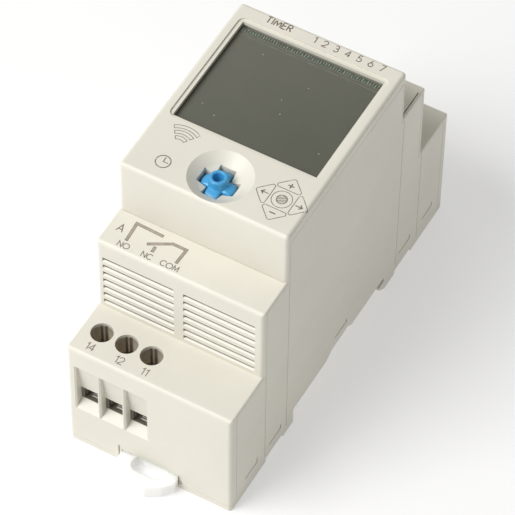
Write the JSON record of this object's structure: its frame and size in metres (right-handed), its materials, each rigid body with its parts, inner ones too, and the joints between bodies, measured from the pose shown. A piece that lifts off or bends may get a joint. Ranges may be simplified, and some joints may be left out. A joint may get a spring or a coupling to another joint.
{
  "type": "din rail timer",
  "caption": "Digital time switch for a DIN rail: stepped housing with a display, a joystick, screw terminals at both ends and a sprung rail clip.",
  "frame": {"origin": "on the rail's centre line, in the plane of the housing's back, midway across the width", "axes": "+X across the modules, to the right seen from the front with the contact terminals down; +Y up the device from the contact terminals to the supply terminals; +Z out of the front"},
  "size_m": [0.035, 0.0903, 0.0606],
  "materials": {
    "housing_ivory": "fine moulded texture",
    "clip_nylon": "natural translucent nylon",
    "window_clear": "clear polished",
    "lcd_glass": "dark, slightly glossy",
    "frame_white": "white reflector plastic",
    "diffuser_white": "milky",
    "connector_rubber": "striped silicone",
    "circuit_board": "solder mask",
    "copper_foil": "etched copper",
    "chip_black": "moulded epoxy",
    "can_steel": "drawn can",
    "battery_steel": "nickel plated",
    "spring_steel": "sprung sheet",
    "switch_black": "moulded",
    "joystick_blue": "satin",
    "plunger_white": "moulded",
    "pin_gold": "gold plated",
    "relay_plastic": "moulded",
    "relay_cover": "moulded cover",
    "bobbin_plastic": "glass-filled",
    "copper_winding": "enamelled wire",
    "relay_iron": "plated iron",
    "contact_metal": "bronze with silver contacts",
    "capacitor_sleeve": "shrink sleeve",
    "film_box": "moulded box",
    "varistor_coat": "dipped epoxy",
    "ferrite": "sintered",
    "resistor_coat": "lacquer",
    "led_lens": "phosphor",
    "terminal_steel": "zinc plated",
    "blade_brass": "tinned brass"
  },
  "bodies": {
    "housing": {"backlight_diffuser": "diffuser_white", "backlight_leds": "led_lens", "battery_holder": "spring_steel", "blade_11": "blade_brass", "blade_12": "blade_brass", "blade_14": "blade_brass", "blade_a1": "blade_brass", "blade_a2": "blade_brass", "bridge_rectifier": "chip_black", "bulk_capacitor": "capacitor_sleeve", "coin_battery": "battery_steel", "crystal": "can_steel", "display_board": "circuit_board", "display_window": "window_clear", "far_end_cover": "housing_ivory", "far_terminal_block": "housing_ivory", "far_terminal_top": "housing_ivory", "film_capacitor": "film_box", "front_cover": "housing_ivory", "fuse_resistor": "resistor_coat", "header_pins": "pin_gold", "inductor": "ferrite", "joystick_switch_body": "switch_black", "lcd_frame": "frame_white", "lcd_panel": "lcd_glass", "link_board": "circuit_board", "microcontroller": "chip_black", "near_end_cover": "housing_ivory", "near_terminal_block": "housing_ivory", "near_terminal_top": "housing_ivory", "nfc_antenna": "copper_foil", "output_capacitor": "capacitor_sleeve", "power_board": "circuit_board", "rear_case": "housing_ivory", "relay_base": "relay_plastic", "relay_bobbin": "bobbin_plastic", "relay_case": "relay_cover", "relay_coil": "copper_winding", "relay_fixed_contacts": "contact_metal", "relay_yoke": "relay_iron", "varistor": "varistor_coat", "voltage_regulator": "chip_black", "zebra_connector": "connector_rubber"},
    "rail_clip": {"rail_clip": "clip_nylon"},
    "joystick_plunger": {"joystick_plunger": "plunger_white"},
    "joystick_gimbal": {"joystick_gimbal": "spring_steel"},
    "joystick_head": {"joystick_stem": "spring_steel", "joystick_cap": "joystick_blue"},
    "relay_armature": {"relay_armature": "relay_iron", "relay_moving_contact": "contact_metal"},
    "screw_14": {"screw_14": "terminal_steel"},
    "cage_14": {"cage_14": "terminal_steel"},
    "screw_12": {"screw_12": "terminal_steel"},
    "cage_12": {"cage_12": "terminal_steel"},
    "screw_11": {"screw_11": "terminal_steel"},
    "cage_11": {"cage_11": "terminal_steel"},
    "screw_a1": {"screw_a1": "terminal_steel"},
    "cage_a1": {"cage_a1": "terminal_steel"},
    "screw_a2": {"screw_a2": "terminal_steel"},
    "cage_a2": {"cage_a2": "terminal_steel"}
  },
  "joints": [
    {"name": "clip_slide", "type": "slide", "parent": "housing", "child": "rail_clip", "axis": [0, -1, 0], "range_m": [0, 0.004], "stiffness_N_per_m": 1500},
    {"name": "joystick_push", "type": "slide", "parent": "housing", "child": "joystick_plunger", "axis": [0, 0, -1], "range_m": [0, 0.0004], "stiffness_N_per_m": 3000},
    {"name": "joystick_tilt_up_down", "type": "hinge", "parent": "joystick_plunger", "child": "joystick_gimbal", "pos_m": [-0.00035, -0.0161, 0.0556], "axis": [1, 0, 0], "range_deg": [-5, 5], "stiffness_Nm_per_rad": 0.05},
    {"name": "joystick_tilt_left_right", "type": "hinge", "parent": "joystick_gimbal", "child": "joystick_head", "pos_m": [-0.00035, -0.0161, 0.0556], "axis": [0, 1, 0], "range_deg": [-5, 5], "stiffness_Nm_per_rad": 0.05},
    {"name": "relay_switching", "type": "hinge", "parent": "housing", "child": "relay_armature", "pos_m": [-0.0077, -0.0034, 0.0229], "axis": [1, 0, 0], "range_deg": [0, 3.5], "stiffness_Nm_per_rad": 0.05},
    {"name": "screw_14_turn", "type": "hinge", "parent": "housing", "child": "screw_14", "pos_m": [-0.0134, -0.0365, 0.0223], "axis": [0, 0, -1], "range_deg": [0, 2304]},
    {"name": "cage_14_lift", "type": "slide", "parent": "housing", "child": "cage_14", "axis": [0, 0, 1], "range_m": [0, 0.0032]},
    {"name": "screw_12_turn", "type": "hinge", "parent": "housing", "child": "screw_12", "pos_m": [-0.0081, -0.0365, 0.0223], "axis": [0, 0, -1], "range_deg": [0, 2304]},
    {"name": "cage_12_lift", "type": "slide", "parent": "housing", "child": "cage_12", "axis": [0, 0, 1], "range_m": [0, 0.0032]},
    {"name": "screw_11_turn", "type": "hinge", "parent": "housing", "child": "screw_11", "pos_m": [-0.0028, -0.0365, 0.0223], "axis": [0, 0, -1], "range_deg": [0, 2304]},
    {"name": "cage_11_lift", "type": "slide", "parent": "housing", "child": "cage_11", "axis": [0, 0, 1], "range_m": [0, 0.0032]},
    {"name": "screw_a1_turn", "type": "hinge", "parent": "housing", "child": "screw_a1", "pos_m": [-0.0134, 0.0365, 0.0223], "axis": [0, 0, -1], "range_deg": [0, 2304]},
    {"name": "cage_a1_lift", "type": "slide", "parent": "housing", "child": "cage_a1", "axis": [0, 0, 1], "range_m": [0, 0.0032]},
    {"name": "screw_a2_turn", "type": "hinge", "parent": "housing", "child": "screw_a2", "pos_m": [-0.0081, 0.0365, 0.0223], "axis": [0, 0, -1], "range_deg": [0, 2304]},
    {"name": "cage_a2_lift", "type": "slide", "parent": "housing", "child": "cage_a2", "axis": [0, 0, 1], "range_m": [0, 0.0032]}
  ],
  "couplings": [
    {"joint": "screw_14_turn", "follows": "cage_14_lift", "rad_per_m": 12566},
    {"joint": "screw_12_turn", "follows": "cage_12_lift", "rad_per_m": 12566},
    {"joint": "screw_11_turn", "follows": "cage_11_lift", "rad_per_m": 12566},
    {"joint": "screw_a1_turn", "follows": "cage_a1_lift", "rad_per_m": 12566},
    {"joint": "screw_a2_turn", "follows": "cage_a2_lift", "rad_per_m": 12566}
  ]
}
